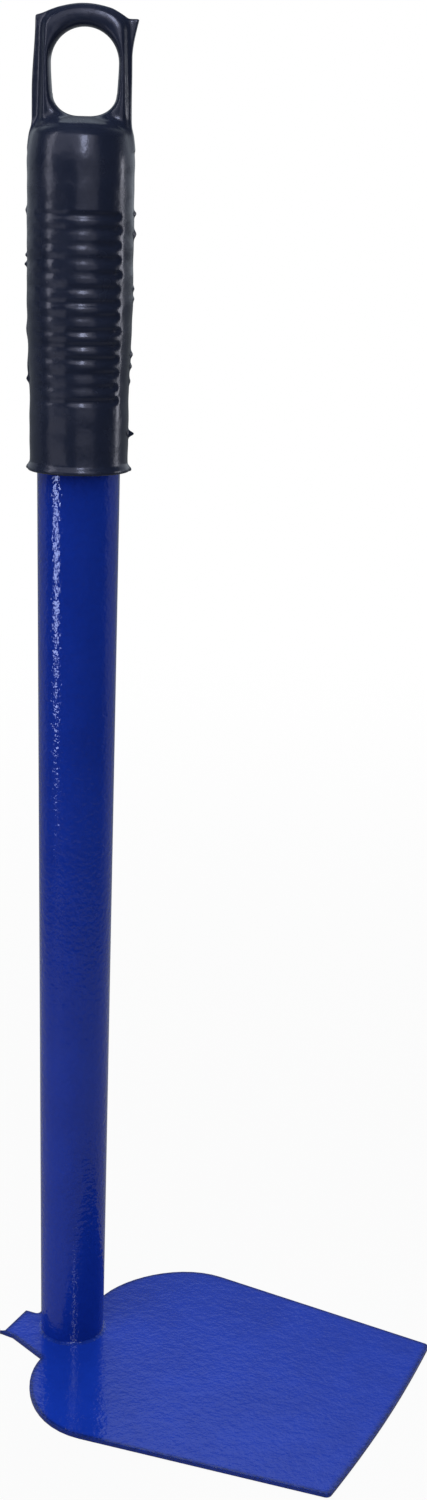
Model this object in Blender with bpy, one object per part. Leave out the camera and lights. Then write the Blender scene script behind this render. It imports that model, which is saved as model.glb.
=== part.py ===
"""Spade hoe: a tapered steel tube welded square to a flat blade, with a moulded grip and hang loop.

Lengths are in metres and +Z is up. The blade lies flat on z = 0 with its cutting edge towards +X.
The tube's centreline is the Z axis.
"""

import math

import bmesh
import bpy
from mathutils import Matrix, Vector

# Fits and fineness
SEAT_GAP = 0.0003
MERGE = 0.00001
ROUND_PULL = 0.5523

# Tube, straight inside the grip and tapered from the grip's rim down to the blade
TUBE_RADIUS = 0.0134
TUBE_FOOT_RADIUS = 0.0113
TUBE_WALL = 0.0012
TUBE_SIDES = 64
TUBE_LENGTH = 0.3947
TUBE_END_BREAK = 0.0003

# Blade, measured along X from the tube's centreline
BLADE_THICK = 0.0015
BLADE_EDGE_BREAK = 0.00025
BLADE_REACH = 0.1222
EDGE_BOW = 0.0018
EDGE_HALF_WIDTH = 0.0489
SIDE_SLOPE = 0.0947
SHOULDER_ROOT_X = -0.0003
SHOULDER_LENGTH = 0.0341
SHOULDER_STEP = 0.0060
SHOULDER_EASE = 0.85
CORNER_ROUND = 0.0016

# Weld bead
BEAD_REACH = 0.0009
BEAD_HEIGHT = 0.0010
BEAD_SIDES = 96
BEAD_RIPPLES = 31
BEAD_RIPPLE = 0.0001

# Neck under the tube's foot
NECK_LAND = 0.0031
NECK_SIDE_LAND = 0.0036
NECK_TAPER = 0.0024
NECK_ROUND = 0.0036

# Tab behind the neck, on the -Y side of the centreline only
TAB_LENGTH = 0.0052
TAB_POINT_LENGTH = 0.0068
TAB_POINT_INSET = 0.0022
TAB_POINT_WIDTH = 0.0010
TAB_WAIST_LENGTH = 0.0011
TAB_WAIST_INSET = 0.0016
TAB_FAR_Y = 0.0024
TAB_ROUND = 0.0006
TAB_NOTCH_ROUND = 0.0012

# Grip sleeve
GRIP_TURN = math.radians(24.0)
GRIP_SIDES = 60
GRIP_COVER = 0.0821
GRIP_CROWN = 0.0240
GRIP_WALL = 0.0030
GRIP_NECK_WALL = 0.0021
GRIP_NECK_LENGTH = 0.0226
GRIP_SWELL_LENGTH = 0.0310
GRIP_LIP_REACH = 0.0007
GRIP_LIP_HEIGHT = 0.0014
GRIP_LIP_FLARE = 0.0020
CROWN_DOME_DROP = 0.0030
CROWN_DOME_STEPS = 3
CROWN_ROUND_HEIGHT = 0.0125
CROWN_ROUND_REACH = 0.0037
CROWN_SQUARENESS = 2.2
CROWN_STEPS = 6
BORE_END_GAP = 0.0035
BORE_CHAMFER = 0.0006
BORE_END_CHAMFER = 0.0012

# Grip ribs, cut as grooves from above the rim up to below the rounded crown
GROOVE_START = 0.0231
GROOVE_STOP = 0.01445
GROOVE_PITCH = 0.00435
GROOVE_LAND = 0.00075
GROOVE_DEPTH = 0.00062
GROOVE_FULL_ANGLE = math.radians(47.0)
GROOVE_END_ANGLE = math.radians(57.0)

# Hang loop: a thick arched bar with a thin web outside it, both rising from the crown
LOOP_DEPTH = 0.0082
LOOP_ROUND = 0.0011
LOOP_SINK = 0.0090
LOOP_HEIGHT = 0.0325
LOOP_ARCH = 0.0074
LOOP_SHIFT = 0.0010
LOOP_SIDE_BAR = 0.0024
LOOP_TOP_BAR = 0.0067
LOOP_FLARE = 0.0010

# Hole in the hang loop
HOLE_HALF = 0.0105
HOLE_FLAT = 0.0030
HOLE_FOOT = 0.0065
HOLE_SINK = 0.0004
HOLE_NARROWING = 0.0006
HOLE_SIDE_BEND = 0.0030

# Thin web round the bar, with a plain corner on one side and an ear on the other
WEB_THICK = 0.0022
WEB_BREAK = 0.0003
WEB_INSET = 0.0014
WEB_MEET = 0.0086
WEB_MEET_DROP = 0.0022
WEB_CORNER_INSET = 0.0011
WEB_CORNER_DROP = 0.0037
WEB_CORNER_LENGTH = 0.0220
EAR_REACH = 0.0023
EAR_WIDTH = 0.0033
EAR_DROP = 0.0043
EAR_HEIGHT = 0.0120
EAR_HOLLOW = 0.0006
EAR_BREAK = 0.0007

# Places that follow from the sizes
TUBE_FOOT_Z = BLADE_THICK + SEAT_GAP
TUBE_TOP_Z = TUBE_FOOT_Z + TUBE_LENGTH
BEAD_INSIDE = TUBE_FOOT_RADIUS + SEAT_GAP
BEAD_OUTSIDE = BEAD_INSIDE + BEAD_REACH
EDGE_CORNER_X = BLADE_REACH - EDGE_BOW
SHOULDER_END_X = SHOULDER_ROOT_X + SHOULDER_LENGTH
NECK_END_X = -BEAD_OUTSIDE - NECK_LAND
NECK_HALF_WIDTH = BEAD_OUTSIDE + NECK_SIDE_LAND
SHOULDER_ROOT_Y = NECK_HALF_WIDTH + SHOULDER_STEP
TAB_END_X = NECK_END_X - TAB_LENGTH
BORE_RADIUS = TUBE_RADIUS + SEAT_GAP
BORE_END_Z = TUBE_TOP_Z + BORE_END_GAP
GRIP_RADIUS = BORE_RADIUS + GRIP_WALL
GRIP_NECK_RADIUS = BORE_RADIUS + GRIP_NECK_WALL
GRIP_RIM_Z = TUBE_TOP_Z - GRIP_COVER
GRIP_TOP_Z = BORE_END_Z + GRIP_CROWN
CROWN_EDGE_Z = GRIP_TOP_Z - CROWN_DOME_DROP
CROWN_START_Z = CROWN_EDGE_Z - CROWN_ROUND_HEIGHT
GROOVE_WIDTH = GROOVE_PITCH - GROOVE_LAND
GROOVE_FIRST_Z = GRIP_RIM_Z + GROOVE_START
GROOVE_ROOM = CROWN_START_Z - GROOVE_STOP - GROOVE_FIRST_Z
GROOVE_COUNT = 1 + math.floor(GROOVE_ROOM / GROOVE_PITCH + 0.01)
LOOP_HALF = HOLE_HALF + LOOP_SIDE_BAR
LOOP_ROOT_Z = GRIP_TOP_Z - LOOP_SINK
LOOP_PEAK_Z = GRIP_TOP_Z + LOOP_HEIGHT
LOOP_SPRING_Z = LOOP_PEAK_Z - LOOP_ARCH
HOLE_TOP_Z = LOOP_PEAK_Z - LOOP_TOP_BAR
HOLE_BOTTOM_Z = GRIP_TOP_Z - HOLE_SINK
WEB_HALF = GRIP_RADIUS - WEB_INSET


def clear_scene():
    for old in list(bpy.data.objects):
        bpy.data.objects.remove(old, do_unlink=True)


def new_collection(name, shown):
    group = bpy.data.collections.new(name)
    bpy.context.scene.collection.children.link(group)
    group.hide_render = not shown
    return group


def new_material(name, colour, roughness, metallic, coat):
    material = bpy.data.materials.new(name)
    material.use_nodes = True
    surface = material.node_tree.nodes["Principled BSDF"]
    surface.inputs["Base Color"].default_value = (*colour, 1.0)
    surface.inputs["Roughness"].default_value = roughness
    surface.inputs["Metallic"].default_value = metallic
    surface.inputs["Coat Weight"].default_value = coat
    material.diffuse_color = (*colour, 1.0)
    return material


def add_object(name, mesh, group, material, smooth_angle):
    piece = bpy.data.objects.new(name, mesh)
    group.objects.link(piece)
    mesh.materials.clear()
    mesh.materials.append(material)
    mesh.set_sharp_from_angle(angle=smooth_angle)
    for face in mesh.polygons:
        face.use_smooth = True
    return piece


def add_helper(name, mesh, group):
    piece = bpy.data.objects.new(name, mesh)
    group.objects.link(piece)
    piece.hide_render = True
    piece.display_type = "WIRE"
    return piece


def finished_mesh(work, name):
    """Merges doubled points, turns the faces outwards and stores the mesh."""
    bmesh.ops.remove_doubles(work, verts=work.verts, dist=MERGE)
    bmesh.ops.recalc_face_normals(work, faces=work.faces)
    mesh = bpy.data.meshes.new(name)
    work.to_mesh(mesh)
    work.free()
    return mesh


def revolved(name, profile, sides, closed):
    """Turns a list of (radius, height) points round the Z axis."""
    work = bmesh.new()
    points = [work.verts.new((radius, 0.0, height)) for radius, height in profile]
    pairs = list(zip(points, points[1:]))
    if closed:
        pairs.append((points[-1], points[0]))
    edges = [work.edges.new(pair) for pair in pairs]
    bmesh.ops.spin(
        work,
        geom=points + edges,
        cent=(0.0, 0.0, 0.0),
        axis=(0.0, 0.0, 1.0),
        angle=2.0 * math.pi,
        steps=sides,
        use_merge=True,
    )
    return finished_mesh(work, name)


def outline_mesh(name, outlines, depth, rounding, steps):
    """Fills closed outlines, each a list of (point, handle before, handle after), to a plate."""
    curve = bpy.data.curves.new(name, "CURVE")
    curve.dimensions = "2D"
    curve.fill_mode = "BOTH"
    curve.resolution_u = steps
    curve.extrude = depth / 2.0 - rounding
    curve.bevel_depth = rounding
    curve.bevel_resolution = 2
    curve.offset = -rounding
    for outline in outlines:
        spline = curve.splines.new("BEZIER")
        spline.bezier_points.add(len(outline) - 1)
        spline.use_cyclic_u = True
        for knot, (point, before, after) in zip(spline.bezier_points, outline):
            knot.handle_left_type = "FREE"
            knot.handle_right_type = "FREE"
            knot.co = (*point, 0.0)
            knot.handle_left = (*before, 0.0)
            knot.handle_right = (*after, 0.0)
    carrier = bpy.data.objects.new(name, curve)
    bpy.context.scene.collection.objects.link(carrier)
    graph = bpy.context.evaluated_depsgraph_get()
    mesh = bpy.data.meshes.new_from_object(carrier.evaluated_get(graph))
    bpy.data.objects.remove(carrier, do_unlink=True)
    bpy.data.curves.remove(curve)
    work = bmesh.new()
    work.from_mesh(mesh)
    bpy.data.meshes.remove(mesh)
    return finished_mesh(work, name)


def corner(x, y):
    return ((x, y), (x, y), (x, y))


def smooth_knot(x, y, before, after):
    """An outline point with its two handles given as steps away from it."""
    return ((x, y), (x + before[0], y + before[1]), (x + after[0], y + after[1]))


def rounded_corner(tip, back, ahead, radius):
    """Two knots that round the corner at tip, between the directions to back and to ahead."""
    tip = Vector(tip)
    to_back = (Vector(back) - tip).normalized()
    to_ahead = (Vector(ahead) - tip).normalized()
    start = tip + to_back * radius
    end = tip + to_ahead * radius
    pull = radius * ROUND_PULL
    return [
        (tuple(start), tuple(start), tuple(start - to_back * pull)),
        (tuple(end), tuple(end - to_ahead * pull), tuple(end)),
    ]


def side_half_width(x):
    return EDGE_HALF_WIDTH + SIDE_SLOPE * (EDGE_CORNER_X - x)


def blade_outline():
    """The blade's edge, anticlockwise from the root of the near shoulder on the -Y side."""
    wide = side_half_width(SHOULDER_END_X)
    along = SHOULDER_LENGTH * ROUND_PULL
    across = (wide - SHOULDER_ROOT_Y) * ROUND_PULL * SHOULDER_EASE
    half_edge = EDGE_HALF_WIDTH / 2.0
    tab_point = (NECK_END_X - TAB_POINT_LENGTH, TAB_POINT_INSET - NECK_HALF_WIDTH)
    tab_back = (TAB_END_X, tab_point[1] + TAB_POINT_WIDTH)
    tab_corner = (TAB_END_X, TAB_FAR_Y)
    notch = (NECK_END_X, TAB_FAR_Y)
    neck_corner = (NECK_END_X, NECK_HALF_WIDTH)
    knots = [smooth_knot(SHOULDER_ROOT_X, -SHOULDER_ROOT_Y, (0.0, 0.0), (0.0, -across))]
    knots.append(smooth_knot(SHOULDER_END_X, -wide, (-along, -along * SIDE_SLOPE), (0.0, 0.0)))
    knots += rounded_corner(
        (EDGE_CORNER_X, -EDGE_HALF_WIDTH), (SHOULDER_END_X, -wide), (BLADE_REACH, -half_edge), CORNER_ROUND
    )
    knots.append(smooth_knot(BLADE_REACH, 0.0, (0.0, -half_edge), (0.0, half_edge)))
    knots += rounded_corner(
        (EDGE_CORNER_X, EDGE_HALF_WIDTH), (BLADE_REACH, half_edge), (SHOULDER_END_X, wide), CORNER_ROUND
    )
    knots.append(smooth_knot(SHOULDER_END_X, wide, (0.0, 0.0), (-along, along * SIDE_SLOPE)))
    knots.append(smooth_knot(SHOULDER_ROOT_X, SHOULDER_ROOT_Y, (0.0, across), (0.0, 0.0)))
    knots += rounded_corner(neck_corner, (SHOULDER_ROOT_X, SHOULDER_ROOT_Y), notch, NECK_ROUND)
    knots += rounded_corner(notch, neck_corner, tab_corner, TAB_NOTCH_ROUND)
    knots += rounded_corner(tab_corner, notch, tab_back, TAB_ROUND)
    knots += [corner(*tab_back), corner(*tab_point)]
    knots.append(corner(NECK_END_X - TAB_WAIST_LENGTH, TAB_WAIST_INSET - NECK_HALF_WIDTH))
    knots.append(corner(NECK_END_X + NECK_TAPER, -NECK_HALF_WIDTH))
    return knots


def make_blade(group, material):
    mesh = outline_mesh("blade", [blade_outline()], BLADE_THICK, BLADE_EDGE_BREAK, 14)
    blade = add_object("blade", mesh, group, material, math.radians(35.0))
    blade.location.z = BLADE_THICK / 2.0
    return blade


def make_tube(group, material):
    inner = TUBE_RADIUS - TUBE_WALL
    profile = [
        (TUBE_RADIUS - TUBE_END_BREAK, TUBE_TOP_Z),
        (TUBE_RADIUS, TUBE_TOP_Z - TUBE_END_BREAK),
        (TUBE_RADIUS, GRIP_RIM_Z),
        (TUBE_FOOT_RADIUS, TUBE_FOOT_Z + TUBE_END_BREAK),
        (TUBE_FOOT_RADIUS - TUBE_END_BREAK, TUBE_FOOT_Z),
        (TUBE_FOOT_RADIUS - TUBE_WALL, TUBE_FOOT_Z),
        (inner, GRIP_RIM_Z),
        (inner, TUBE_TOP_Z),
    ]
    mesh = revolved("handle_tube", profile, TUBE_SIDES, True)
    return add_object("handle_tube", mesh, group, material, math.radians(35.0))


def make_bead(group, material):
    """A fillet of weld with the small even ripples that a welder leaves."""
    inner = BEAD_INSIDE
    profile = [
        (inner, TUBE_FOOT_Z + BEAD_HEIGHT),
        (inner + BEAD_REACH * 0.30, TUBE_FOOT_Z + BEAD_HEIGHT * 0.86),
        (inner + BEAD_REACH * 0.66, TUBE_FOOT_Z + BEAD_HEIGHT * 0.58),
        (inner + BEAD_REACH * 0.90, TUBE_FOOT_Z + BEAD_HEIGHT * 0.28),
        (BEAD_OUTSIDE, TUBE_FOOT_Z),
        (inner, TUBE_FOOT_Z),
    ]
    mesh = revolved("weld_bead", profile, BEAD_SIDES, True)
    for vertex in mesh.vertices:
        radius = math.hypot(vertex.co.x, vertex.co.y)
        turn = math.atan2(vertex.co.y, vertex.co.x)
        share = (radius - inner) / BEAD_REACH
        wave = math.cos(turn * BEAD_RIPPLES) + 0.8 * math.cos(turn * 3.0 + 1.0)
        scale = 1.0 + share * wave * BEAD_RIPPLE / radius
        vertex.co.x *= scale
        vertex.co.y *= scale
    return add_object("weld_bead", mesh, group, material, math.radians(50.0))


def barrel_radius(height):
    """The sleeve's outside radius below the crown, without its grooves."""
    share = (height - GRIP_RIM_Z - GRIP_NECK_LENGTH) / GRIP_SWELL_LENGTH
    share = min(max(share, 0.0), 1.0)
    ease = share * share * (3.0 - 2.0 * share)
    return GRIP_NECK_RADIUS + (GRIP_RADIUS - GRIP_NECK_RADIUS) * ease


def groove_depth(height):
    nearest = round((height - GROOVE_FIRST_Z) / GROOVE_PITCH)
    nearest = min(max(nearest, 0), GROOVE_COUNT - 1)
    away = abs(height - GROOVE_FIRST_Z - nearest * GROOVE_PITCH)
    if away >= GROOVE_WIDTH / 2.0:
        return 0.0
    return GROOVE_DEPTH * (0.5 + 0.5 * math.cos(2.0 * math.pi * away / GROOVE_WIDTH))


def crown_profile():
    """From the axis over the low dome and down its rounded edge to the barrel."""
    edge = GRIP_RADIUS - CROWN_ROUND_REACH
    points = [(0.0, GRIP_TOP_Z)]
    for step in range(1, CROWN_DOME_STEPS):
        share = step / CROWN_DOME_STEPS
        points.append((edge * share, GRIP_TOP_Z - CROWN_DOME_DROP * share * share))
    for step in range(CROWN_STEPS + 1):
        turn = math.pi / 2.0 * step / CROWN_STEPS
        out = math.sin(turn) ** (2.0 / CROWN_SQUARENESS)
        up = max(math.cos(turn), 0.0) ** (2.0 / CROWN_SQUARENESS)
        points.append((edge + CROWN_ROUND_REACH * out, CROWN_START_Z + CROWN_ROUND_HEIGHT * up))
    return points


def sleeve_profile():
    """From the closed top on the axis, down the outside, and up the bore to the axis again."""
    profile = crown_profile()
    for index in reversed(range(GROOVE_COUNT)):
        centre = GROOVE_FIRST_Z + index * GROOVE_PITCH
        for step in (2, 1, 0, -1, -2):
            height = centre + step * GROOVE_WIDTH / 4.0
            profile.append((barrel_radius(height), height))
    lip = GRIP_NECK_RADIUS + GRIP_LIP_REACH
    profile += [
        (GRIP_NECK_RADIUS, GRIP_RIM_Z + GRIP_LIP_HEIGHT + GRIP_LIP_FLARE),
        (GRIP_NECK_RADIUS + GRIP_LIP_REACH * 0.35, GRIP_RIM_Z + GRIP_LIP_HEIGHT),
        (lip, GRIP_RIM_Z + GRIP_LIP_HEIGHT * 0.45),
        (lip - GRIP_LIP_REACH * 0.30, GRIP_RIM_Z + GRIP_LIP_HEIGHT * 0.07),
        (lip - GRIP_LIP_REACH * 0.80, GRIP_RIM_Z),
        (BORE_RADIUS + BORE_CHAMFER, GRIP_RIM_Z),
        (BORE_RADIUS, GRIP_RIM_Z + BORE_CHAMFER),
        (BORE_RADIUS, BORE_END_Z - BORE_END_CHAMFER),
        (BORE_RADIUS - BORE_END_CHAMFER, BORE_END_Z),
        (0.0, BORE_END_Z),
    ]
    return profile


def groove_share(turn):
    """1 on the two broad faces of the grip, 0 on the smooth bands along the mould's parting line."""
    from_face = abs(math.asin(max(-1.0, min(1.0, math.cos(turn)))))
    if from_face <= GROOVE_FULL_ANGLE:
        return 1.0
    if from_face >= GROOVE_END_ANGLE:
        return 0.0
    share = (GROOVE_END_ANGLE - from_face) / (GROOVE_END_ANGLE - GROOVE_FULL_ANGLE)
    return share * share * (3.0 - 2.0 * share)


def sleeve_mesh():
    mesh = revolved("grip_sleeve", sleeve_profile(), GRIP_SIDES, False)
    for vertex in mesh.vertices:
        radius = math.hypot(vertex.co.x, vertex.co.y)
        if radius < GRIP_NECK_RADIUS - MERGE:
            continue
        depth = groove_depth(vertex.co.z) * groove_share(math.atan2(vertex.co.y, vertex.co.x))
        vertex.co.x *= (radius - depth) / radius
        vertex.co.y *= (radius - depth) / radius
    return mesh


def upright(mesh):
    """Stands a plate drawn in X and Y up in the X and Z plane."""
    mesh.transform(Matrix.Rotation(math.radians(90.0), 4, "X"))
    return mesh


def loop_mesh():
    rise = LOOP_ARCH * ROUND_PULL
    reach = LOOP_HALF * ROUND_PULL
    foot = LOOP_HALF + LOOP_FLARE
    outer = [
        corner(-foot, LOOP_ROOT_Z),
        corner(foot, LOOP_ROOT_Z),
        smooth_knot(LOOP_HALF, LOOP_SPRING_Z, (0.0, 0.0), (0.0, rise)),
        smooth_knot(0.0, LOOP_PEAK_Z, (reach, 0.0), (-reach, 0.0)),
        smooth_knot(-LOOP_HALF, LOOP_SPRING_Z, (0.0, rise), (0.0, 0.0)),
    ]
    return upright(outline_mesh("loop_bar", [outer], LOOP_DEPTH, LOOP_ROUND, 12))


def web_mesh():
    """Drawn from the grip's axis; the bar and its hole stand LOOP_SHIFT to the side of it."""
    ear = WEB_HALF + EAR_REACH
    ear_z = LOOP_PEAK_Z - EAR_DROP
    hollow = (WEB_HALF + EAR_REACH / 2.0 - EAR_HOLLOW, ear_z - EAR_HEIGHT / 2.0)
    meet_z = LOOP_PEAK_Z - WEB_MEET_DROP
    corner_z = LOOP_PEAK_Z - WEB_CORNER_DROP
    outer = [
        corner(-WEB_HALF, LOOP_ROOT_Z),
        corner(WEB_HALF, LOOP_ROOT_Z),
        corner(WEB_HALF, ear_z - EAR_HEIGHT),
        corner(*hollow),
        corner(ear, ear_z - EAR_BREAK),
        corner(ear - EAR_BREAK / 2.0, ear_z),
        corner(ear - EAR_WIDTH, ear_z),
        corner(LOOP_SHIFT + WEB_MEET, meet_z),
        corner(LOOP_SHIFT - WEB_MEET, meet_z),
        corner(WEB_CORNER_INSET - WEB_HALF, corner_z),
        corner(-WEB_HALF, corner_z - WEB_CORNER_LENGTH),
    ]
    return upright(outline_mesh("loop_web", [outer], WEB_THICK, WEB_BREAK, 1))


def hole_mesh(depth):
    neck_half = HOLE_HALF - HOLE_NARROWING
    flat = HOLE_FLAT / 2.0
    neck_z = HOLE_BOTTOM_Z + HOLE_FOOT
    spring_z = HOLE_TOP_Z - HOLE_HALF
    arch = HOLE_HALF * ROUND_PULL
    foot = HOLE_FOOT * ROUND_PULL
    sweep = (neck_half - flat) * ROUND_PULL
    lean = HOLE_NARROWING / 3.0
    outer = [
        smooth_knot(flat, HOLE_BOTTOM_Z, (0.0, 0.0), (sweep, 0.0)),
        smooth_knot(neck_half, neck_z, (-lean, -foot), (0.0, 0.0)),
        smooth_knot(HOLE_HALF, spring_z, (-lean, -HOLE_SIDE_BEND), (0.0, arch)),
        smooth_knot(0.0, HOLE_TOP_Z, (arch, 0.0), (-arch, 0.0)),
        smooth_knot(-HOLE_HALF, spring_z, (0.0, arch), (lean, -HOLE_SIDE_BEND)),
        smooth_knot(-neck_half, neck_z, (0.0, 0.0), (lean, -foot)),
        smooth_knot(-flat, HOLE_BOTTOM_Z, (-sweep, 0.0), (0.0, 0.0)),
    ]
    return upright(outline_mesh("loop_hole", [outer], depth, 0.0, 10))


def add_boolean(target, other, operation):
    step = target.modifiers.new(operation.lower() + "_" + other.name, "BOOLEAN")
    step.operation = operation
    step.solver = "EXACT"
    step.object = other


def make_grip(group, helpers, material):
    grip = add_object("grip", sleeve_mesh(), group, material, math.radians(40.0))
    bar = add_helper("loop_bar", loop_mesh(), helpers)
    web = add_helper("loop_web", web_mesh(), helpers)
    hole = add_helper("loop_hole", hole_mesh(LOOP_DEPTH * 6.0), helpers)
    add_boolean(grip, bar, "UNION")
    add_boolean(grip, web, "UNION")
    add_boolean(grip, hole, "DIFFERENCE")
    for piece in (grip, bar, web, hole):
        piece.rotation_euler.z = GRIP_TURN
    for piece in (bar, hole):
        piece.location.x = LOOP_SHIFT * math.cos(GRIP_TURN)
        piece.location.y = LOOP_SHIFT * math.sin(GRIP_TURN)
    return grip


def build():
    clear_scene()
    parts = new_collection("spade_hoe", True)
    helpers = new_collection("cutters", False)
    blue = new_material("blue_gloss_paint", (0.020, 0.045, 0.430), 0.24, 0.0, 0.6)
    blade_blue = new_material("blade_blue_paint", (0.024, 0.055, 0.420), 0.30, 0.0, 0.5)
    bead_blue = new_material("painted_weld", (0.018, 0.040, 0.360), 0.34, 0.0, 0.4)
    black = new_material("black_moulded_grip", (0.012, 0.015, 0.026), 0.40, 0.0, 0.0)
    make_blade(parts, blade_blue)
    make_tube(parts, blue)
    make_bead(parts, bead_blue)
    make_grip(parts, helpers, black)


build()
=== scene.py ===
import math
import random

import bpy
import numpy as np
from mathutils import Matrix, Vector


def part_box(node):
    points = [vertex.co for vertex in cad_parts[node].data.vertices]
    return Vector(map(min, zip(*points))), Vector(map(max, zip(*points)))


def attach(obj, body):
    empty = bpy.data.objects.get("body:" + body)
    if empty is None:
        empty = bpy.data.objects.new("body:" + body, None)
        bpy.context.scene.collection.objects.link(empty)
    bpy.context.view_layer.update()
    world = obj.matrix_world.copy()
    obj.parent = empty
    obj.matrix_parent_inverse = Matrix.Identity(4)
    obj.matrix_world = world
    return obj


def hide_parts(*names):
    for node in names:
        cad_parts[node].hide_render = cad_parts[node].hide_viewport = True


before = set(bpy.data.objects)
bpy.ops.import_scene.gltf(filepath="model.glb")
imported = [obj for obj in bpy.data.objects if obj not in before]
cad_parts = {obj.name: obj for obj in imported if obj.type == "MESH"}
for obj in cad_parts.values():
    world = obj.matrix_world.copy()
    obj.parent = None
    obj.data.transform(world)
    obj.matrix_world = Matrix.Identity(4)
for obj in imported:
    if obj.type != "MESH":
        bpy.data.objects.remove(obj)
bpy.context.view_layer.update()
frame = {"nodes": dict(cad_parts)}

# Camera, in the frame's metres, as worked out from the photograph's edges
CAMERA_PLACE = (0.30951, -0.56971, 0.39997)
CAMERA_TURN = 0.4266
CAMERA_DIP = 0.2692
CAMERA_ROLL = 0.0263
CAMERA_LENS = 47.91
CAMERA_SENSOR = 36.0
CAMERA_NEAR = 0.01
CAMERA_FAR = 60.0

# The studio's back wall stands square to the photograph's view, and stays there in any other view
STUDIO_TURN = CAMERA_TURN

# Colours of the paints and the plastic
# The tube's paint is the blade's paint made darker, as painted shade on the upright tube
TUBE_SHADE_DARKENED_BLUE = (0.0060, 0.0300, 0.304)
TUBE_SHADE_DARKENED_BLUE_DEEP = (0.0050, 0.0250, 0.262)
BLADE_BLUE = (0.0066, 0.0350, 0.370)
BLADE_BLUE_DEEP = (0.0055, 0.0295, 0.322)
# The weld's paint is the same paint made lighter, a painted highlight so that the weld shows as a light
# line
BEAD_HIGHLIGHT_BLUE = (0.0130, 0.0560, 0.480)
BEAD_BLUE_DEEP = (0.0066, 0.0300, 0.300)
# Painted shade along the blade's edges and thin sides
EDGE_SHADE_BLUE = (0.0055, 0.0110, 0.060)
GRIP_BLACK = (0.0085, 0.0115, 0.024)
GRIP_BLACK_LIGHT = (0.0135, 0.0175, 0.035)

# Paint. A gloss is a roughness and a coat roughness, and a peel or a ripple is a depth and a noise's scale.
# Other noises are a scale and a detail. A range is what a value is stretched from, and then what it is
# stretched to where that isn't 0 to 1
TUBE_GLOSS = (0.12, 0.04)
TUBE_PEEL = (0.00023, 620.0)
TUBE_RIPPLE = (0.00002, 200.0)
BLADE_GLOSS = (0.11, 0.04)
BLADE_PEEL = (0.00006, 900.0)
BLADE_RIPPLE = (0.00012, 330.0)
BEAD_GLOSS = (0.28, 0.12)
BEAD_PEEL = (0.00036, 640.0)
BEAD_RIPPLE = (0.00014, 300.0)
PAINT_COAT = 0.30
PAINT_IOR = 1.48
PAINT_CLOUD = (38.0, 3.0)
PAINT_CLOUD_RANGE = (0.35, 0.65)
PAINT_CLOUD_SHARE = 0.65
PAINT_FLECK = (420.0, 2.0)
PAINT_FLECK_RANGE = (0.35, 0.70)
PAINT_FLECK_SHARE = 0.35
PAINT_ROUGH = (90.0, 3.0)
PAINT_ROUGH_RANGE = (0.3, 0.7)
PAINT_ROUGH_BELOW = 0.02
PAINT_ROUGH_ABOVE = 0.03
PEEL_DETAIL = 1.5
PEEL_ROUGHNESS = 0.55
# Painted shade along the blade's edges: its reach, samples and range, and a noise that breaks it up
EDGE_SHADE_REACH = 0.0038
EDGE_SHADE_SAMPLES = 8
EDGE_SHADE_RANGE = (0.83, 0.985, 1.0, 0.0)
EDGE_SHADE_BREAKUP = (700.0, 1.0)
EDGE_SHADE_BREAKUP_RANGE = (0.25, 0.6, 0.55, 1.0)

# Plastic
PLASTIC_IOR = 1.5
PLASTIC_CLOUD = (55.0, 4.0)
PLASTIC_CLOUD_RANGE = (0.35, 0.7)
PLASTIC_CLOUD_SHARE = 0.5
PLASTIC_STREAK = (260.0, 3.0)
PLASTIC_STREAK_STRETCH = (1.0, 1.0, 0.22)
PLASTIC_STREAK_SHARE = 0.4
PLASTIC_ROUGH = (130.0, 3.0)
PLASTIC_ROUGH_RANGE = (0.3, 0.7, 0.19, 0.28)
PLASTIC_DENTS = (160.0, 2.0)
PLASTIC_GRAIN = (900.0, 2.0)
PLASTIC_GRAIN_SHARE = 0.12
PLASTIC_BUMP = 0.00022
SHEEN_BLUE = (0.82, 0.82, 1.0, 1.0)

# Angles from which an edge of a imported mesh, or of the weld, stays sharp
TUBE_SHARP = math.radians(35.0)
BLADE_SHARP = math.radians(12.0)
WELD_SHARP = math.radians(60.0)
MERGE_DISTANCE = 0.000002

# Lamp colours
WHITE = (1.0, 1.0, 1.0)
STREAK_BLUE = (0.50, 0.60, 1.0)
BOX_BLUE = (0.80, 0.87, 1.0)

# Lamps that show in the gloss: name, turn, distance, height, size, power, colour, the height they
# aim at and the piece they are kept to, if any
GLOSS_PANELS = (
    ("left_strip", -66.0, 0.68, 0.76, (0.12, 0.80), 1.2, WHITE, 0.76, "grip"),
    ("tube_strip", -60.0, 0.68, 0.17, (0.12, 0.17), 0.75, STREAK_BLUE, 0.17, "handle_tube"),
    ("front_window", 18.0, 1.30, 0.70, (1.1, 1.2), 2.3, WHITE, 0.40, "grip"),
    ("front_box", 10.0, 1.30, 1.02, (0.18, 0.55), 4.6, BOX_BLUE, 0.40, None),
    ("right_strip", 104.0, 1.00, 0.33, (0.16, 0.36), 0.9, WHITE, 0.33, "grip"),
    ("top_window", -14.0, 0.90, 0.90, (1.9, 0.6), 3.2, WHITE, 0.44, "grip"),
    ("low_window", -48.0, 0.68, 0.17, (0.55, 0.26), 0.32, WHITE, 0.17, "grip"),
)

# Soft light that the gloss doesn't mirror, in the same order
SOFT_PANELS = (
    ("overhead_back", 184.0, 0.75, 1.45, (0.5, 0.7), 9.0, WHITE, 0.22, None),
    ("overhead_front", -20.0, 0.60, 1.50, (1.0, 1.0), 13.5, WHITE, 0.22, None),
    ("blade_fill", 20.0, 0.07, 0.21, (0.1, 0.1), 0.12, WHITE, 0.0, "blade"),
    ("right_fill", 100.0, 1.00, 0.20, (0.5, 0.5), 3.0, WHITE, 0.20, "handle_tube"),
    ("low_fill", -50.0, 0.25, 0.06, (0.1, 0.1), 0.09, WHITE, 0.06, "handle_tube"),
)

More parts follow.
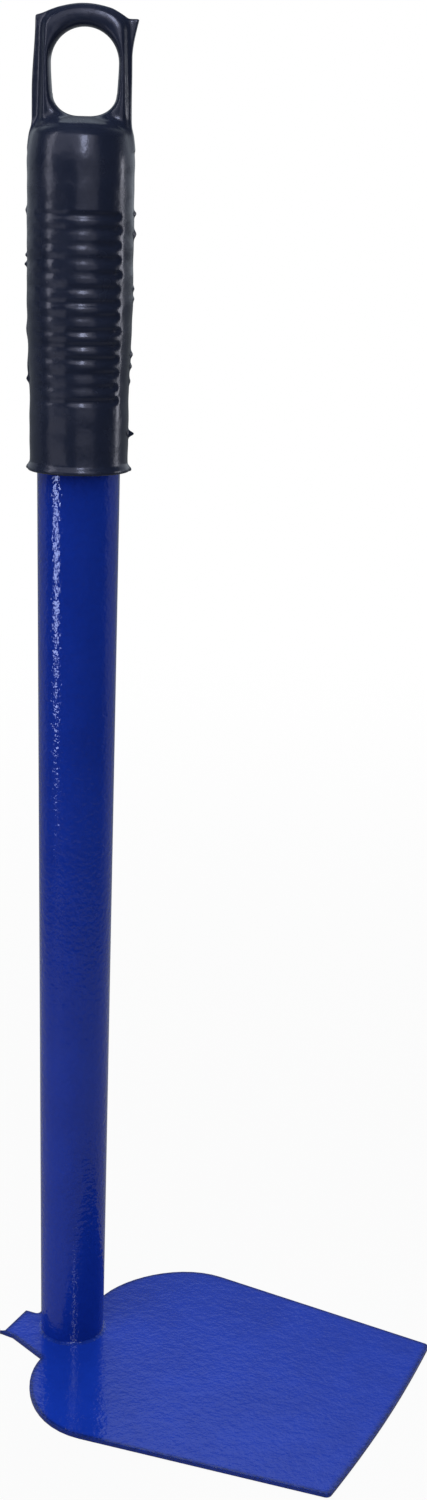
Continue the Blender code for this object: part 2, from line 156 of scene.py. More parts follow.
# Grip, in its own turned axes, from the rim and the peak of the frame's grip
GRIP_TURN = math.radians(24.0)
GRIP_CELL = 0.00045
GRIP_MARGIN_CELLS = 2.5
GRIP_SIDE_ROOM = 0.0020
SETTLE_ROUNDS = 3
SLOPE_REACH = 0.00002
LEAST_SLOPE = 0.05
LEAST_SCALE = 0.05
BARREL_RADIUS = 0.0167
COLLAR_RADIUS = 0.0158
COLLAR_LENGTH = 0.0226
SWELL_LENGTH = 0.0310
LIP_REACH = 0.0007
LIP_STRAIGHT = 0.0008
LIP_LENGTH = 0.0030
BARREL_WAVE = 0.00005
BARREL_WAVE_RATE = 310.0
BARREL_WAVE_TWIST = 2.0
BARREL_RIPPLE = 0.00004
BARREL_RIPPLE_RATE = 720.0
BARREL_RIPPLE_START = 1.3
BORE_RADIUS = 0.0137
BORE_LENGTH = 0.0856
CROWN_EDGE = 0.0130
CROWN_DROP = 0.0030
CROWN_FALL = 0.0125
CROWN_SQUARENESS = 2.2
CROWN_LOWEST = 0.96
CROWN_RIM_SOFTNESS = 0.0022
LOOP_RISE = 0.0325
RIB_FIRST = 0.0231
RIB_PITCH = 0.00435
RIB_GROOVE = 0.0036
RIB_DEPTH = 0.00058
RIB_FAINT_HALF = 0.0030
RIB_FULL_HALF = 0.0100
RIB_SEED = 11
RIB_STRAY = 0.00014
RIB_TILT = 0.012
RIB_WANDER = 2.5
# Each groove from the rim up: its depth towards the ends and in the middle, in shares of RIB_DEPTH
RIB_SHARES = (
    (0.95, 0.80),
    (1.00, 0.30),
    (0.95, 0.28),
    (1.05, 0.80),
    (1.00, 0.84),
    (1.10, 0.80),
    (1.00, 0.32),
    (1.10, 0.88),
    (1.00, 0.60),
    (1.05, 0.28),
    (0.95, 0.34),
    (1.00, 0.36),
    (0.90, 0.30),
    (1.05, 0.82),
)
RIB_LEFT_SHARE = 0.30
RIB_LEFT_HALF = 0.0040
RIB_FULL_ANGLE = math.radians(46.0)
RIB_END_ANGLE = math.radians(58.0)
LOOP_SHIFT = 0.0010
LOOP_HALF = 0.0129
LOOP_FLARE = 0.0010
LOOP_FLARE_LENGTH = 0.030
LOOP_FLARE_MOST = 1.3
LOOP_ARCH = 0.0074
LOOP_HALF_DEPTH = 0.0041
LOOP_ROUND = 0.0018
LOOP_CROWNING = 0.0010
HOLE_HALF = 0.0105
HOLE_NECK_HALF = 0.0099
HOLE_FLAT_HALF = 0.0015
HOLE_FOOT = 0.0065
HOLE_SINK = 0.0004
HOLE_WIDENING_DROP = 0.0040
LOOP_TOP_BAR = 0.0067
# The web's sides and corners. A drop is a distance below the loop's peak, and a span goes from a lower
# place to a higher one, both measured from the peak
WEB_HALF_THICK = 0.0011
WEB_ROUND = 0.0003
WEB_HALF = 0.0153
WEB_LEAN = 0.0011
WEB_LEAN_SPAN = (-0.026, -0.004)
WEB_LEFT_DROP = 0.0037
WEB_LEFT_SLOPE = 0.30
WEB_LEFT_CORNER = 0.0142
WEB_RIGHT_DROP = 0.0042
WEB_RIGHT_SLOPE = 0.45
WEB_RIGHT_CORNER = 0.0143
WEB_PEAK_DROP = 0.0020
EAR_FOOT_REACH = 0.0002
EAR_FOOT_SPAN = (-0.030, -0.020)
EAR_REACH = 0.0021
EAR_DROP = 0.0150
EAR_LENGTH = 0.0107
EAR_MOST = 1.1
EAR_CURVE = 1.4
LOOP_ROOT_DROP = 0.009
LOOP_LEAST_BAR = 0.001
# Widths over which the grip's edges are rounded
SIDE_SOFTNESS = 0.0004
CORNER_SOFTNESS = 0.0005
EDGE_SOFTNESS = 0.0006
HOLE_SOFTNESS = 0.0008
ROOT_FILLET = 0.0030
CREASE = 0.0022
FLASH_HEIGHT = 0.00012
FLASH_WIDTH = 0.0007
# Crumbs of flash on the parting line: side, height above the rim, reach and length
FLASH_CRUMBS = (
    (-1, 0.0809, 0.00045, 0.0010),
    (-1, 0.0672, 0.00065, 0.0006),
    (-1, 0.0644, 0.00085, 0.0007),
    (-1, 0.0443, 0.00040, 0.0026),
    (-1, 0.0320, 0.00050, 0.0036),
    (-1, 0.0287, 0.00080, 0.0010),
    (-1, 0.0006, 0.00040, 0.0009),
    (1, 0.0805, 0.00070, 0.0008),
    (1, 0.0743, 0.00080, 0.0012),
    (1, 0.0576, 0.00045, 0.0008),
    (1, 0.0545, 0.00040, 0.0008),
    (1, 0.0372, 0.00070, 0.0010),
    (1, 0.0334, 0.00060, 0.0009),
    (1, 0.0288, 0.00040, 0.0010),
    (1, 0.0121, 0.00190, 0.0009),
    (1, 0.0006, 0.00050, 0.0009),
)

# Weld, a fillet from the blade up on to the tube
TUBE_FOOT_RADIUS = 0.0113
WELD_SINK = 0.0001
WELD_SIDES = 248
WELD_STEPS = 10
WELD_RIPPLES = 31
WELD_RIPPLE = 0.00016
WELD_UNEVEN = 0.12
WELD_SEED = 23
WELD_TOE = 0.00022
WELD_TOE_LOW = 0.6
WELD_TOE_PLACE = 0.45
WELD_TOE_WIDTH = 0.28

# Floor. Its ranges go by the distance from the object, the last one by the distance towards the back wall
FLOOR_HALF = 14.0
FLOOR_DROP = 0.0002
FLOOR_GREY = (0.55, 0.55, 0.55, 1.0)
FLOOR_SEEN_WHITE = (0.15, 1.2, 0.94, 1.0)
FLOOR_IN_GLOSS = (0.30, 0.60, 0.55, 0.97)
FLOOR_GLOSS_LIGHT = (-0.10, 0.40, 0.02, 0.22)
BACKDROP_WHITE = (1.0, 1.0, 1.0, 1.0)

# Walls round the studio, as light from the world that the camera itself doesn't see. Their ranges go by how
# far a direction points up, to the back or to the right
BACK_LOW = 0.15
BACK_HIGH = 0.62
BACK_RIGHT_SHARE = 0.55
BACK_RISE = (0.49, 0.60)
BACK_FADE = (0.0, 0.10)
BACK_AHEAD = (0.30, 0.70)
RIGHT_WALL = 0.60
RIGHT_RANGE = (0.05, 0.40)
LEFT_WALL = 0.35
LEFT_RANGE = (-0.40, -0.05)
SIDES_AHEAD = (0.18, 0.40)
SIDES_LOW = (0.25, 0.45)
LEAST_LIGHT = 0.02
HAZE_BLUE = (0.83, 0.91, 1.0, 1.0)
HAZE_HIGH = (0.86, 0.97, 1.06, 1.0)
HAZE_RISE = (0.49, 0.56)


def camera_axes():
    sine, cosine = math.sin(CAMERA_TURN), math.cos(CAMERA_TURN)
    level = math.cos(CAMERA_DIP)
    ahead = Vector((-sine * level, cosine * level, -math.sin(CAMERA_DIP)))
    right = Vector((cosine, sine, 0.0))
    up = right.cross(ahead)
    rolled_right = math.cos(CAMERA_ROLL) * right + math.sin(CAMERA_ROLL) * up
    rolled_up = math.cos(CAMERA_ROLL) * up - math.sin(CAMERA_ROLL) * right
    return rolled_right, rolled_up, -ahead


def add_camera():
    data = bpy.data.cameras.new("camera")
    data.lens = CAMERA_LENS
    data.sensor_width = CAMERA_SENSOR
    data.clip_start = CAMERA_NEAR
    data.clip_end = CAMERA_FAR
    camera = bpy.data.objects.new("camera", data)
    bpy.context.scene.collection.objects.link(camera)
    turn = Matrix(camera_axes()).transposed().to_4x4()
    camera.matrix_world = Matrix.Translation(CAMERA_PLACE) @ turn
    bpy.context.scene.camera = camera


class Graph:
    """A short way to write a node tree."""

    def __init__(self, tree):
        self.tree = tree

    def node(self, kind, settings=None, **inputs):
        made = self.tree.nodes.new(kind)
        for name, value in (settings or {}).items():
            setattr(made, name, value)
        for name, value in inputs.items():
            self.feed(made, name.replace("_", " "), value)
        return made

    def feed(self, made, key, value):
        numbered = key[0] == "i" and key[1:].isdigit()
        socket = made.inputs[int(key[1:]) if numbered else key]
        if isinstance(value, bpy.types.NodeSocket):
            self.tree.links.new(value, socket)
        else:
            socket.default_value = value

    def math(self, operation, *values):
        made = self.node("ShaderNodeMath", {"operation": operation})
        for index, value in enumerate(values):
            self.feed(made, f"i{index}", value)
        return made.outputs[0]

    def ramp(self, value, low, high, to_low=0.0, to_high=1.0):
        made = self.node("ShaderNodeMapRange", {"interpolation_type": "SMOOTHSTEP"}, Value=value)
        made.inputs["From Min"].default_value = low
        made.inputs["From Max"].default_value = high
        made.inputs["To Min"].default_value = to_low
        made.inputs["To Max"].default_value = to_high
        return made.outputs[0]

    def noise(self, place, scale, detail=2.0, roughness=0.5):
        made = self.node("ShaderNodeTexNoise", None, Vector=place, Scale=scale)
        made.inputs["Detail"].default_value = detail
        made.inputs["Roughness"].default_value = roughness
        return made.outputs["Fac"]

    def mix(self, factor, first, second):
        made = self.tree.nodes.new("ShaderNodeMix")
        made.data_type = "RGBA"
        self.feed(made, "i0", factor)
        self.feed(made, "i6", first)
        self.feed(made, "i7", second)
        return made.outputs[2]

    def stretched(self, place, scale):
        made = self.node("ShaderNodeVectorMath", {"operation": "MULTIPLY"})
        self.feed(made, "i0", place)
        made.inputs[1].default_value = scale
        return made.outputs[0]

    def blend(self, first, first_share, second, second_share):
        first_part = self.math("MULTIPLY", first, first_share)
        return self.math("ADD", first_part, self.math("MULTIPLY", second, second_share))

    def along(self, place, direction):
        """How far a place lies along a fixed direction."""
        made = self.node("ShaderNodeVectorMath", {"operation": "DOT_PRODUCT"})
        self.feed(made, "i0", place)
        self.feed(made, "i1", direction)
        return made.outputs["Value"]

    def glow(self, colour, strength):
        return self.node("ShaderNodeEmission", None, Color=colour, Strength=strength).outputs[0]

    def choose(self, share, first, second):
        """The second shader for a share of the light, and the first one for the rest."""
        made = self.tree.nodes.new("ShaderNodeMixShader")
        for index, source in enumerate((share, first, second)):
            self.tree.links.new(source, made.inputs[index])
        return made.outputs[0]

    def bump(self, height, distance, normal=None):
        made = self.node("ShaderNodeBump", None, Height=height, Distance=distance, Strength=1.0)
        if normal is not None:
            self.feed(made, "Normal", normal)
        return made.outputs[0]


def new_material(name):
    material = bpy.data.materials.new(name)
    material.use_nodes = True
    graph = Graph(material.node_tree)
    surface = material.node_tree.nodes["Principled BSDF"]
    place = graph.node("ShaderNodeTexCoord").outputs["Object"]
    return material, graph, surface, place


def rgba(colour):
    return (*colour, 1.0)


def edge_shade(graph, place):
    """Painted shade: 1 along the sheet's edges and thin sides, darkened to stand in for their shade and
    broken up by noise, and 0 away from them.
    """
    rounded = graph.node("ShaderNodeBevel", {"samples": EDGE_SHADE_SAMPLES}, Radius=EDGE_SHADE_REACH)
    normal = graph.node("ShaderNodeNewGeometry").outputs["Normal"]
    shade = graph.ramp(graph.along(rounded.outputs[0], normal), *EDGE_SHADE_RANGE)
    # Noise that breaks up the painted shade along the edges
    shade_breakup = graph.ramp(graph.noise(place, *EDGE_SHADE_BREAKUP), *EDGE_SHADE_BREAKUP_RANGE)
    return graph.math("MULTIPLY", shade, shade_breakup)


def paint_material(name, colour, deep, gloss, peel, ripple, edge=None):
    """Gloss paint on steel, with painted shade in the colour edge along its edges if edge is given."""
    material, graph, surface, place = new_material(name)
    cloud = graph.ramp(graph.noise(place, *PAINT_CLOUD), *PAINT_CLOUD_RANGE)
    fleck = graph.ramp(graph.noise(place, *PAINT_FLECK), *PAINT_FLECK_RANGE)
    pattern = graph.blend(cloud, PAINT_CLOUD_SHARE, fleck, PAINT_FLECK_SHARE)
    base = graph.mix(pattern, rgba(colour), rgba(deep))
    if edge is not None:
        # Painted shade: the edges take the darker colour
        base = graph.mix(edge_shade(graph, place), base, rgba(edge))
    graph.feed(surface, "Base Color", base)
    roughness, coat_roughness = gloss
    rough_range = (*PAINT_ROUGH_RANGE, roughness - PAINT_ROUGH_BELOW, roughness + PAINT_ROUGH_ABOVE)
    graph.feed(surface, "Roughness", graph.ramp(graph.noise(place, *PAINT_ROUGH), *rough_range))
    ripple_depth, ripple_scale = ripple
    peel_depth, peel_scale = peel
    swell = graph.bump(graph.noise(place, ripple_scale), ripple_depth)
    bump = graph.bump(graph.noise(place, peel_scale, PEEL_DETAIL, PEEL_ROUGHNESS), peel_depth, swell)
    graph.feed(surface, "Normal", bump)
    graph.feed(surface, "Coat Normal", bump)
    surface.inputs["Coat Weight"].default_value = PAINT_COAT
    surface.inputs["Coat Roughness"].default_value = coat_roughness
    surface.inputs["IOR"].default_value = PAINT_IOR
    return material


def plastic_material():
    material, graph, surface, place = new_material("moulded_plastic")
    cloud = graph.ramp(graph.noise(place, *PLASTIC_CLOUD), *PLASTIC_CLOUD_RANGE)
    streak = graph.noise(graph.stretched(place, PLASTIC_STREAK_STRETCH), *PLASTIC_STREAK)
    pattern = graph.blend(cloud, PLASTIC_CLOUD_SHARE, streak, PLASTIC_STREAK_SHARE)
    graph.feed(surface, "Base Color", graph.mix(pattern, rgba(GRIP_BLACK), rgba(GRIP_BLACK_LIGHT)))
    rough = graph.ramp(graph.noise(place, *PLASTIC_ROUGH), *PLASTIC_ROUGH_RANGE)
    graph.feed(surface, "Roughness", rough)
    grain = graph.math("MULTIPLY", graph.noise(place, *PLASTIC_GRAIN), PLASTIC_GRAIN_SHARE)
    height = graph.math("ADD", graph.noise(place, *PLASTIC_DENTS), grain)
    graph.feed(surface, "Normal", graph.bump(height, PLASTIC_BUMP))
    surface.inputs["IOR"].default_value = PLASTIC_IOR
    surface.inputs["Specular Tint"].default_value = SHEEN_BLUE
    return material


def smooth_node(obj, angle):
    """Joins a mesh's loose triangles and shades it smooth, except across edges sharper than angle."""
    tree = bpy.data.node_groups.new("smooth_" + obj.name, "GeometryNodeTree")
    tree.interface.new_socket("Geometry", in_out="INPUT", socket_type="NodeSocketGeometry")
    tree.interface.new_socket("Geometry", in_out="OUTPUT", socket_type="NodeSocketGeometry")
    graph = Graph(tree)
    start = graph.node("NodeGroupInput")
    end = graph.node("NodeGroupOutput")
    merge = graph.node("GeometryNodeMergeByDistance", None, Distance=MERGE_DISTANCE)
    normal = graph.node("GeometryNodeSetMeshNormal", {"mode": "SHARPNESS"})
    corner = graph.node("GeometryNodeInputMeshEdgeAngle")
    sharp = graph.node("FunctionNodeCompare", {"data_type": "FLOAT", "operation": "GREATER_THAN"})
    tree.links.new(corner.outputs["Unsigned Angle"], sharp.inputs[0])
    sharp.inputs[1].default_value = angle
    tree.links.new(start.outputs[0], merge.inputs["Geometry"])
    tree.links.new(merge.outputs[0], normal.inputs[0])
    tree.links.new(sharp.outputs[0], normal.inputs["Edge Sharpness"])
    tree.links.new(normal.outputs[0], end.inputs[0])
    step = obj.modifiers.new("smooth", "NODES")
    step.node_group = tree


def soft_max(first, second, width):
    """The greater of two fields, with the edge between them rounded over width."""
    overlap = np.maximum(width - np.abs(first - second), 0.0) / width
    return np.maximum(first, second) + overlap * overlap * width / 4.0


def soft_min(first, second, width):
    return -soft_max(-first, -second, width)


def ease(value, low, high):
    share = np.clip((value - low) / (high - low), 0.0, 1.0)
    return share * share * (3.0 - 2.0 * share)


def from_ellipse(across, up, half_width, half_height):
    """About the distance outwards from an ellipse, negative inside it."""
    scaled = np.hypot(across / half_width, up / half_height)
    slope = np.hypot(across / half_width**2, up / half_height**2) / np.maximum(scaled, LEAST_SCALE)
    return (scaled - 1.0) / np.maximum(slope, 1.0)


class GripShape:
    """The moulded grip as a field that is negative inside it, in the grip's own axes.

    X runs across the loop's width, Y through its depth and Z up the handle.
    """

    def __init__(self, rim, peak):
        self.rim = rim
        self.peak = peak
        self.top = peak - LOOP_RISE
        draw = random.Random(RIB_SEED)
        self.ribs = []
        for index, (ends, middle) in enumerate(RIB_SHARES):
            self.ribs.append(
                (
                    rim + RIB_FIRST + index * RIB_PITCH + draw.uniform(-RIB_STRAY, RIB_STRAY),
                    RIB_DEPTH * ends,
                    middle / ends,
                    draw.uniform(-RIB_TILT, RIB_TILT),
                    math.radians(draw.uniform(-RIB_WANDER, RIB_WANDER)),
                )
            )

    def grooves(self, x, y, z):
        from_face = np.abs(np.arctan2(x, np.abs(y)))
        depth = np.zeros_like(z)
        for centre, deep, middle, tilt, wander in self.ribs:
            away = np.abs(z - centre - tilt * x) / (RIB_GROOVE / 2.0)
            wave = np.where(away < 1.0, 0.5 + 0.5 * np.cos(math.pi * np.minimum(away, 1.0)), 0.0)
            share = 1.0 - ease(from_face, RIB_FULL_ANGLE + wander, RIB_END_ANGLE + wander)
            share *= middle + (1.0 - middle) * ease(np.abs(x), RIB_FAINT_HALF, RIB_FULL_HALF)
            share *= 1.0 - (1.0 - RIB_LEFT_SHARE) * ease(-x, 0.0, RIB_LEFT_HALF)
            depth += deep * wave * share
        return depth

    def flash(self, x, y, z):
        """The thin seam that the two halves of the mould leave, with its crumbs."""
        near_seam = np.exp(-((y / FLASH_WIDTH) ** 2))
        reach = np.full_like(z, FLASH_HEIGHT)
        for side, height, out, length in FLASH_CRUMBS:
            reach += np.where(x * side > 0.0, out, 0.0) * np.exp(-(((z - self.rim - height) / length) ** 2))
        return reach * near_seam

    def barrel(self, x, y, z):
        radius = np.hypot(x, y)
        above = z - self.rim
        swell = ease(above, COLLAR_LENGTH, COLLAR_LENGTH + SWELL_LENGTH)
        outline = COLLAR_RADIUS + (BARREL_RADIUS - COLLAR_RADIUS) * swell
        outline = outline + LIP_REACH * (1.0 - ease(above, LIP_STRAIGHT, LIP_LENGTH))
        fall = np.clip((z - self.top + CROWN_DROP + CROWN_FALL) / CROWN_FALL, 0.0, CROWN_LOWEST)
        drawn_in = 1.0 - (1.0 - fall**CROWN_SQUARENESS) ** (1.0 / CROWN_SQUARENESS)
        outline = outline - (BARREL_RADIUS - CROWN_EDGE) * drawn_in
        turn = BARREL_WAVE_TWIST * np.arctan2(y, x)
        outline = outline + BARREL_WAVE * np.sin(z * BARREL_WAVE_RATE + turn)
        outline = outline + BARREL_RIPPLE * np.sin(z * BARREL_RIPPLE_RATE + BARREL_RIPPLE_START)
        outline = outline - self.grooves(x, y, z) + self.flash(x, y, z)
        dome = z - self.top + CROWN_DROP * (radius / CROWN_EDGE) ** 2
        return soft_max(radius - outline, dome, CROWN_RIM_SOFTNESS)

    def loop_outline(self, x, z):
        across = x - LOOP_SHIFT
        spring = self.peak - LOOP_ARCH
        flare = LOOP_FLARE * np.clip((spring - z) / LOOP_FLARE_LENGTH, 0.0, LOOP_FLARE_MOST)
        lower = np.abs(across) - LOOP_HALF - flare
        upper = from_ellipse(across, z - spring, LOOP_HALF, LOOP_ARCH)
        return np.where(z > spring, upper, lower)

    def hole(self, x, z):
        """Positive inside the hole."""
        across = np.abs(x - LOOP_SHIFT)
        spring = self.peak - LOOP_TOP_BAR - HOLE_HALF
        neck = self.top - HOLE_SINK + HOLE_FOOT
        arch = HOLE_HALF - np.hypot(across, z - spring)
        widening = ease(z, neck - HOLE_WIDENING_DROP, spring)
        sides = HOLE_NECK_HALF + (HOLE_HALF - HOLE_NECK_HALF) * widening - across
        beyond = np.maximum(across - HOLE_FLAT_HALF, 0.0)
        foot = -from_ellipse(beyond, z - neck, HOLE_NECK_HALF - HOLE_FLAT_HALF, HOLE_FOOT)
        return np.where(z > spring, arch, np.where(z > neck, sides, foot))

    def web_outline(self, x, z):
        """A side that leans in to a plain corner on the left, and an ear that leans out on the right."""
        up = z - self.peak
        left = -x - WEB_HALF + WEB_LEAN * ease(up, *WEB_LEAN_SPAN)
        ear_rise = np.clip((up + EAR_DROP) / EAR_LENGTH, 0.0, EAR_MOST)
        ear = EAR_FOOT_REACH * ease(up, *EAR_FOOT_SPAN) + EAR_REACH * ear_rise**EAR_CURVE
        right = x - WEB_HALF - ear
        left_top = up + WEB_LEFT_DROP - WEB_LEFT_SLOPE * (x + WEB_LEFT_CORNER)
        right_top = up + WEB_RIGHT_DROP + WEB_RIGHT_SLOPE * np.minimum(x - WEB_RIGHT_CORNER, 0.0)
        corners = soft_max(left_top, right_top, EDGE_SOFTNESS)
        top = soft_max(corners, up + WEB_PEAK_DROP, EDGE_SOFTNESS)
        return soft_max(soft_max(left, right, SIDE_SOFTNESS), top, CORNER_SOFTNESS)

    def loop(self, x, y, z):
        opening = self.hole(x, z)
        outer = self.loop_outline(x, z)
        across = (outer - opening) / np.maximum(np.abs(outer) + np.abs(opening), LOOP_LEAST_BAR)
        side = soft_max(outer, opening, EDGE_SOFTNESS) + LOOP_ROUND
        face = np.abs(y) - LOOP_HALF_DEPTH + LOOP_CROWNING * across**2 + LOOP_ROUND
        outside = np.hypot(np.maximum(side, 0.0), np.maximum(face, 0.0))
        inside = np.minimum(np.maximum(side, face), 0.0)
        bar = outside + inside - LOOP_ROUND
        web_side = soft_max(self.web_outline(x, z), opening, EDGE_SOFTNESS)
        web = soft_max(web_side, np.abs(y) - WEB_HALF_THICK, 2.0 * WEB_ROUND)
        joined = soft_min(bar, web, CREASE)
        return soft_max(joined, self.top - LOOP_ROOT_DROP - z, CORNER_SOFTNESS)

    def __call__(self, place):
        x, y, z = place
        solid = soft_min(self.barrel(x, y, z), self.loop(x, y, z), ROOT_FILLET)
        solid = soft_max(solid, self.hole(x, z), HOLE_SOFTNESS)
        solid = soft_max(solid, self.rim - z, EDGE_SOFTNESS)
        bore = soft_max(np.hypot(x, y) - BORE_RADIUS, z - self.rim - BORE_LENGTH, HOLE_SOFTNESS)
        return soft_max(solid, -bore, EDGE_SOFTNESS)


def net_surface(field, low, high, step):
    """Covers the field's zero level with quads: one point in each cell that it crosses."""
    counts = [int(math.ceil((top - base) / step)) + 1 for base, top in zip(low, high)]
    axes = [base + step * np.arange(count) for base, count in zip(low, counts)]
    values = field(np.meshgrid(*axes, indexing="ij"))
    cells = tuple(count - 1 for count in counts)
    total = np.zeros((*cells, 3))
    hits = np.zeros(cells)
    crossings = []
    for axis in range(3):
        front = [slice(None)] * 3
        back = [slice(None)] * 3
        front[axis] = slice(None, -1)
        back[axis] = slice(1, None)
        first, second = values[tuple(front)], values[tuple(back)]
        crossed = (first < 0.0) != (second < 0.0)
        where = np.argwhere(crossed)
        start = first[crossed]
        share = start / (start - second[crossed])
        point = where.astype(float)
        point[:, axis] += share
        crossings.append((axis, where, start < 0.0))
        others = [other for other in range(3) if other != axis]
        for near_a in (0, 1):
            for near_b in (0, 1):
                cell = where.copy()
                cell[:, others[0]] -= near_a
                cell[:, others[1]] -= near_b
                np.add.at(total, tuple(cell.T), point)
                np.add.at(hits, tuple(cell.T), 1.0)
    used = hits > 0.0
    names = np.full(cells, -1, dtype=np.int64)
    names[used] = np.arange(int(used.sum()))
    points = total[used] / hits[used][:, None] * step + np.array(low)
    faces = []
    for axis, where, outwards in crossings:
        first, second = [(1, 2), (2, 0), (0, 1)][axis]
        ring = []
        for near_a, near_b in ((1, 1), (0, 1), (0, 0), (1, 0)):
            cell = where.copy()
            cell[:, first] -= near_a
            cell[:, second] -= near_b
            ring.append(names[tuple(cell.T)])
        quad = np.stack(ring, axis=1)
        quad[~outwards] = quad[~outwards][:, ::-1]
        faces.append(quad)
    return points, np.concatenate(faces)


def settle(field, points):
    """Moves the points along the field's slope onto its zero level."""
    for _ in range(SETTLE_ROUNDS):
        slope = np.empty_like(points)
        for axis in range(3):
            ahead, behind = points.copy(), points.copy()
            ahead[:, axis] += SLOPE_REACH
            behind[:, axis] -= SLOPE_REACH
            slope[:, axis] = (field(ahead.T) - field(behind.T)) / (2.0 * SLOPE_REACH)
        steep = np.maximum((slope**2).sum(axis=1), LEAST_SLOPE)
        points = points - slope * (field(points.T) / steep)[:, None]
    return points


def add_grip(material):
    low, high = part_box("grip")
    shape = GripShape(low[2], high[2])
    margin = GRIP_MARGIN_CELLS * GRIP_CELL
    side = BARREL_RADIUS + GRIP_SIDE_ROOM
    points, faces = net_surface(
        shape,
        (-side, -side, low[2] - margin),
        (side, side, high[2] + margin),
        GRIP_CELL,
    )
    points = settle(shape, points)
    mesh = bpy.data.meshes.new("moulded_grip")
    mesh.from_pydata(points.tolist(), [], faces.tolist())
    mesh.transform(Matrix.Rotation(GRIP_TURN, 4, "Z"))
    for face in mesh.polygons:
        face.use_smooth = True
    mesh.materials.append(material)
    grip = bpy.data.objects.new("moulded_grip", mesh)
    bpy.context.scene.collection.objects.link(grip)
    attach(grip, "root")
    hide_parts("grip")
    return grip


def add_weld(material):
    """A hollow fillet with a raised, rippled toe, closed where the tube and the blade hide it."""
    outside, _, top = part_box("weld_bead")[1]
    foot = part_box("blade")[1][2] - WELD_SINK
    inside = TUBE_FOOT_RADIUS - WELD_SINK
    draw = random.Random(WELD_SEED)
    points = []
    for side in range(WELD_SIDES):
        angle = 2.0 * math.pi * side / WELD_SIDES
        wave = 0.5 + 0.5 * math.cos(angle * WELD_RIPPLES) + draw.uniform(-WELD_UNEVEN, WELD_UNEVEN)
        reach = outside - WELD_RIPPLE * min(max(1.0 - wave, 0.0), 1.0) - inside
        for step in range(WELD_STEPS + 1):
            share = 0.5 * math.pi * step / WELD_STEPS
            radius = inside + reach * (1.0 - math.sin(share))
            height = foot + (top - foot) * (1.0 - math.cos(share))
            toe = math.exp(-(((share - WELD_TOE_PLACE) / WELD_TOE_WIDTH) ** 2))
            height += WELD_TOE * (WELD_TOE_LOW + (1.0 - WELD_TOE_LOW) * wave) * toe
            points.append((radius * math.cos(angle), radius * math.sin(angle), height))
        points.append((inside * math.cos(angle), inside * math.sin(angle), foot))
    ring = WELD_STEPS + 2
    faces = []
    for side in range(WELD_SIDES):
        near, far = side * ring, (side + 1) % WELD_SIDES * ring
        for step in range(ring):
            after = (step + 1) % ring
            faces.append((near + step, far + step, far + after, near + after))
    mesh = bpy.data.meshes.new("weld_fillet")
    mesh.from_pydata(points, [], faces)
    mesh.materials.append(material)
    weld = bpy.data.objects.new("weld_fillet", mesh)
    bpy.context.scene.collection.objects.link(weld)
    smooth_node(weld, WELD_SHARP)
    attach(weld, "root")
    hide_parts("weld_bead")


def dress(node, material, angle):
    piece = frame["nodes"][node]
    piece.data.materials.clear()
    piece.data.materials.append(material)
    smooth_node(piece, angle)


def studio_backward():
    return Vector((-math.sin(STUDIO_TURN), math.cos(STUDIO_TURN), 0.0))


def studio_rightward():
    return Vector((math.cos(STUDIO_TURN), math.sin(STUDIO_TURN), 0.0))


def add_floor():
    mesh = bpy.data.meshes.new("floor")
    corners = [(x * FLOOR_HALF, y * FLOOR_HALF, 0.0) for x, y in ((-1, -1), (1, -1), (1, 1), (-1, 1))]
    mesh.from_pydata(corners, [], [(0, 1, 2, 3)])
    floor = bpy.data.objects.new("floor", mesh)
    bpy.context.scene.collection.objects.link(floor)
    floor.location.z = -FLOOR_DROP
    material = bpy.data.materials.new("studio_floor")
    material.use_nodes = True
    tree = material.node_tree
    graph = Graph(tree)
    surface = tree.nodes["Principled BSDF"]
    surface.inputs["Base Color"].default_value = FLOOR_GREY
    surface.inputs["Roughness"].default_value = 1.0
    surface.inputs["Specular IOR Level"].default_value = 0.0
    place = graph.node("ShaderNodeTexCoord").outputs["Object"]
    reach = graph.node("ShaderNodeVectorMath", {"operation": "LENGTH"})
    graph.feed(reach, "i0", place)
    away = reach.outputs["Value"]
    path = graph.node("ShaderNodeLightPath")
    whiteness = graph.ramp(away, *FLOOR_SEEN_WHITE)
    seen = graph.math("MULTIPLY", path.outputs["Is Camera Ray"], whiteness)
    in_gloss = graph.ramp(away, *FLOOR_IN_GLOSS)
    mirrored = graph.math("MULTIPLY", path.outputs["Is Glossy Ray"], in_gloss)
    dim = graph.ramp(graph.along(place, studio_backward()), *FLOOR_GLOSS_LIGHT)
    plain = graph.choose(seen, surface.outputs[0], graph.glow(BACKDROP_WHITE, 1.0))
    whole = graph.choose(mirrored, plain, graph.glow(HAZE_BLUE, dim))
    tree.links.new(whole, tree.nodes["Material Output"].inputs["Surface"])
    mesh.materials.append(material)


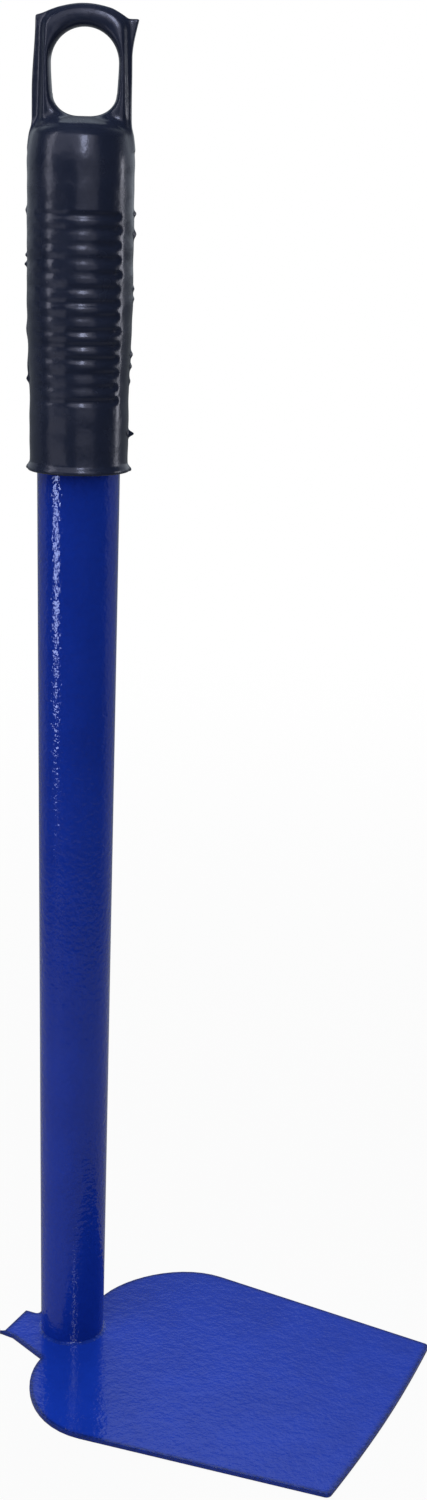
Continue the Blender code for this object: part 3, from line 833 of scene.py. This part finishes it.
def add_world():
    world = bpy.data.worlds.new("studio")
    bpy.context.scene.world = world
    world.use_nodes = True
    tree = world.node_tree
    graph = Graph(tree)
    ground = tree.nodes["Background"]
    direction = graph.node("ShaderNodeTexCoord").outputs["Generated"]
    up = graph.node("ShaderNodeSeparateXYZ", None, Vector=direction).outputs["Z"]
    back = graph.along(direction, studio_backward())
    side = graph.along(direction, studio_rightward())
    rise = graph.ramp(up, *BACK_RISE, 0.0, BACK_HIGH - BACK_LOW)
    fade = graph.ramp(side, *BACK_FADE, 1.0, BACK_RIGHT_SHARE)
    wall = graph.math("ADD", graph.math("MULTIPLY", rise, fade), BACK_LOW)
    behind = graph.math("MULTIPLY", graph.ramp(back, *BACK_AHEAD), wall)
    low = graph.ramp(up, *SIDES_LOW, 1.0, 0.0)
    ahead = graph.math("MULTIPLY", graph.ramp(back, *SIDES_AHEAD), low)
    right = graph.ramp(side, *RIGHT_RANGE, 0.0, RIGHT_WALL)
    left = graph.ramp(side, *LEFT_RANGE, LEFT_WALL, 0.0)
    sides = graph.math("MULTIPLY", ahead, graph.math("ADD", left, right))
    light = graph.math("ADD", graph.math("ADD", behind, sides), LEAST_LIGHT)
    seen = graph.node("ShaderNodeLightPath").outputs["Is Camera Ray"]
    tree.links.new(graph.math("MAXIMUM", light, seen), ground.inputs["Strength"])
    haze = graph.mix(graph.ramp(up, *HAZE_RISE), HAZE_BLUE, HAZE_HIGH)
    tree.links.new(graph.mix(seen, haze, BACKDROP_WHITE), ground.inputs["Color"])


def studio_point(turn, distance, height):
    """A place round the object, turn degrees to the right of the studio's open front."""
    angle = math.radians(turn)
    outwards = math.sin(angle) * studio_rightward() - math.cos(angle) * studio_backward()
    place = outwards * distance
    place.z = height
    return place


def add_panel(name, turn, distance, height, size, power, colour, aim):
    data = bpy.data.lights.new(name, "AREA")
    data.shape = "RECTANGLE"
    data.size, data.size_y = size
    data.energy = power
    data.color = colour
    lamp = bpy.data.objects.new(name, data)
    bpy.context.scene.collection.objects.link(lamp)
    place = studio_point(turn, distance, height)
    lamp.location = place
    lamp.rotation_euler = (Vector((0.0, 0.0, aim)) - place).to_track_quat("-Z", "Y").to_euler()
    lamp.visible_camera = False
    return lamp


def shine_only_on(lamp, piece):
    """Keeps a lamp's light off everything but one piece."""
    group = bpy.data.collections.new(lamp.name + "_receivers")
    group.objects.link(piece)
    lamp.light_linking.receiver_collection = group


def add_lights(pieces):
    for panels, mirrored in ((GLOSS_PANELS, True), (SOFT_PANELS, False)):
        for *settings, kept_to in panels:
            lamp = add_panel(*settings)
            lamp.visible_glossy = mirrored
            if kept_to is not None:
                shine_only_on(lamp, pieces[kept_to])


bpy.context.scene.view_settings.view_transform = "Standard"
add_camera()
add_floor()
add_world()
# The tube's paint, darker than the blade's as painted shade
tube_paint = paint_material("tube_paint", TUBE_SHADE_DARKENED_BLUE, TUBE_SHADE_DARKENED_BLUE_DEEP, TUBE_GLOSS, TUBE_PEEL, TUBE_RIPPLE)
# The blade's paint, with painted shade along its edges
blade_paint = paint_material(
    "blade_paint", BLADE_BLUE, BLADE_BLUE_DEEP, BLADE_GLOSS, BLADE_PEEL, BLADE_RIPPLE, EDGE_SHADE_BLUE
)
# The weld's paint, lighter than the blade's as a painted highlight
bead_paint = paint_material("bead_paint", BEAD_HIGHLIGHT_BLUE, BEAD_BLUE_DEEP, BEAD_GLOSS, BEAD_PEEL, BEAD_RIPPLE)
dress("handle_tube", tube_paint, TUBE_SHARP)
dress("blade", blade_paint, BLADE_SHARP)
add_weld(bead_paint)
grip = add_grip(plastic_material())
add_lights({**frame["nodes"], "grip": grip})
